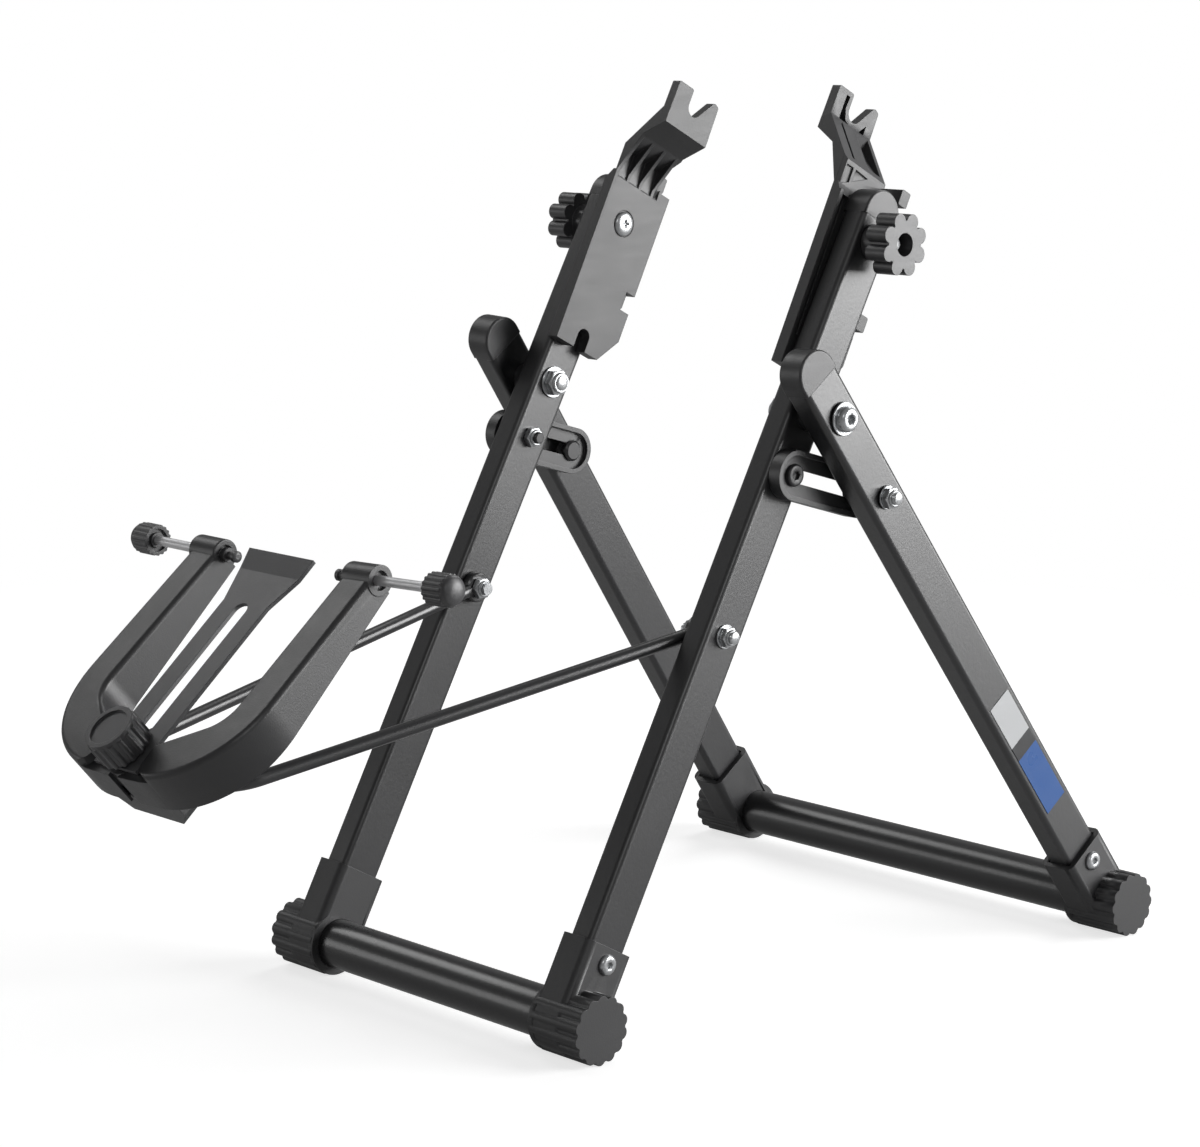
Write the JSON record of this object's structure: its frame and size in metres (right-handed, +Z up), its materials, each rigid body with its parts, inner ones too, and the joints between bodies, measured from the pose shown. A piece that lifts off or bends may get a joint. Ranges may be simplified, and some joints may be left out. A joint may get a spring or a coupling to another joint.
{
  "type": "bicycle wheel truing stand",
  "caption": "Folding truing stand for bicycle wheels: slanted uprights with slotted axle brackets, folding rear legs and a swinging caliper with screw feelers and a centre gauge.",
  "frame": {"origin": "on the floor under the front cross tube, half way between the two sides, where the stand rests", "axes": "+X to the right along the wheel axle, +Y from the front feet to the rear feet, +Z up"},
  "size_m": [0.3122, 0.575, 0.4521],
  "materials": {
    "frame_paint": "satin black paint on aluminium tube",
    "cross_paint": "semi-gloss black paint",
    "rod_paint": "semi-gloss black paint on steel rod",
    "black_plastic": "fine-textured black moulded plastic",
    "foot_rubber": "black moulded plastic, ribbed",
    "bracket_plastic": "dark grey-black moulded plastic",
    "jaw_plastic": "black moulded plastic",
    "gauge_plastic": "black moulded plastic",
    "knob_plastic": "black moulded plastic",
    "steel": "bright zinc-plated steel",
    "feeler_steel": "bright steel, fine thread",
    "dark_steel": "blackened steel",
    "label": "printed film in plain white, black and blue blocks"
  },
  "bodies": {
    "front_frame": {"upright_right": "frame_paint", "upright_left": "frame_paint", "upright_cap_right": "black_plastic", "upright_cap_left": "black_plastic", "front_foot_right": "foot_rubber", "front_foot_left": "foot_rubber", "front_cross_tube": "cross_paint", "front_foot_screws": "steel", "pivot_bolts": "steel", "pivot_nuts": "steel", "pivot_washers": "steel", "pivot_spacers": "black_plastic", "link_bolts": "steel", "link_nuts": "steel", "dropout_bracket_right": "bracket_plastic", "dropout_bracket_left": "bracket_plastic", "bracket_bolts": "steel", "swing_bolts": "steel", "swing_nuts": "steel"},
    "rear_frame": {"rear_leg_right": "frame_paint", "rear_leg_left": "frame_paint", "rear_leg_cap_right": "black_plastic", "rear_leg_cap_left": "black_plastic", "rear_foot_right": "foot_rubber", "rear_foot_left": "foot_rubber", "rear_cross_tube": "cross_paint", "rear_foot_screws": "steel", "rear_link_bolts": "steel", "leg_label": "label"},
    "link_right_body": {"link_right": "black_plastic", "link_stud_right": "dark_steel"},
    "link_left_body": {"link_left": "black_plastic", "link_stud_left": "dark_steel"},
    "swing_arm": {"swing_rod": "rod_paint", "clamp_block": "jaw_plastic", "clamp_bolt": "dark_steel"},
    "jaw_right_body": {"jaw_right": "jaw_plastic"},
    "jaw_left_body": {"jaw_left": "jaw_plastic"},
    "nib_right_body": {"feeler_nib_right": "knob_plastic"},
    "nib_left_body": {"feeler_nib_left": "knob_plastic"},
    "screw_right_body": {"feeler_screw_right": "feeler_steel", "feeler_knob_right": "knob_plastic"},
    "screw_left_body": {"feeler_screw_left": "feeler_steel", "feeler_knob_left": "knob_plastic"},
    "gauge_body": {"centre_gauge": "gauge_plastic"},
    "clamp_knob_body": {"clamp_knob": "knob_plastic"},
    "star_right_body": {"star_knob_right": "knob_plastic"},
    "star_left_body": {"star_knob_left": "knob_plastic"}
  },
  "joints": [
    {"name": "fold", "type": "hinge", "parent": "front_frame", "child": "rear_frame", "pos_m": [0, 0.1544, 0.2942], "axis": [-1, 0, 0], "range_deg": [0, 60]},
    {"name": "link_right_turn", "type": "hinge", "parent": "front_frame", "child": "link_right_body", "pos_m": [0, 0.13878, 0.26616], "axis": [-1, 0, 0], "range_deg": [0, 90.3]},
    {"name": "link_left_turn", "type": "hinge", "parent": "front_frame", "child": "link_left_body", "pos_m": [0, 0.13878, 0.26616], "axis": [-1, 0, 0], "range_deg": [0, 90.3]},
    {"name": "swing", "type": "hinge", "parent": "front_frame", "child": "swing_arm", "pos_m": [0, 0.09684, 0.19085], "axis": [-1, 0, 0], "range_deg": [-20, 85]},
    {"name": "jaw_right_turn", "type": "hinge", "parent": "swing_arm", "child": "jaw_right_body", "pos_m": [0.0016, -0.18346, 0.162], "axis": [0, -0.6534, 0.757], "range_deg": [-8, 4]},
    {"name": "jaw_left_turn", "type": "hinge", "parent": "swing_arm", "child": "jaw_left_body", "pos_m": [0.0016, -0.18346, 0.162], "axis": [0, 0.6534, -0.757], "range_deg": [-8, 4]},
    {"name": "nib_right_slide", "type": "slide", "parent": "jaw_right_body", "child": "nib_right_body", "axis": [-0.9989, -0.0357, -0.0308], "range_m": [0, 0.024]},
    {"name": "nib_left_slide", "type": "slide", "parent": "jaw_left_body", "child": "nib_left_body", "axis": [1, -0.0026, -0.0023], "range_m": [0, 0.024]},
    {"name": "screw_right_turn", "type": "hinge", "parent": "nib_right_body", "child": "screw_right_body", "pos_m": [-0.00391, -0.09205, 0.23495], "axis": [-0.9989, -0.0357, -0.0308], "range_deg": [0, 10800]},
    {"name": "screw_left_turn", "type": "hinge", "parent": "nib_left_body", "child": "screw_left_body", "pos_m": [0.00201, -0.09195, 0.23504], "axis": [1, -0.0026, -0.0023], "range_deg": [0, 10800]},
    {"name": "gauge_slide", "type": "slide", "parent": "swing_arm", "child": "gauge_body", "axis": [0, 0.757, 0.6534], "range_m": [-0.08, 0]},
    {"name": "clamp_knob_turn", "type": "hinge", "parent": "swing_arm", "child": "clamp_knob_body", "pos_m": [0.0016, -0.18346, 0.162], "axis": [0, -0.6534, 0.757], "continuous": true},
    {"name": "star_right_turn", "type": "hinge", "parent": "front_frame", "child": "star_right_body", "pos_m": [0.1, 0.2, 0.37606], "axis": [1, 0, 0], "continuous": true},
    {"name": "star_left_turn", "type": "hinge", "parent": "front_frame", "child": "star_left_body", "pos_m": [-0.1, 0.2, 0.37606], "axis": [-1, 0, 0], "continuous": true}
  ],
  "couplings": [
    {"joint": "link_right_turn", "follows": "fold", "ratio": 1.4974},
    {"joint": "link_left_turn", "follows": "fold", "ratio": 1.4974},
    {"joint": "screw_right_turn", "follows": "nib_right_slide", "rad_per_m": 7854},
    {"joint": "screw_left_turn", "follows": "nib_left_slide", "rad_per_m": 7854}
  ]
}
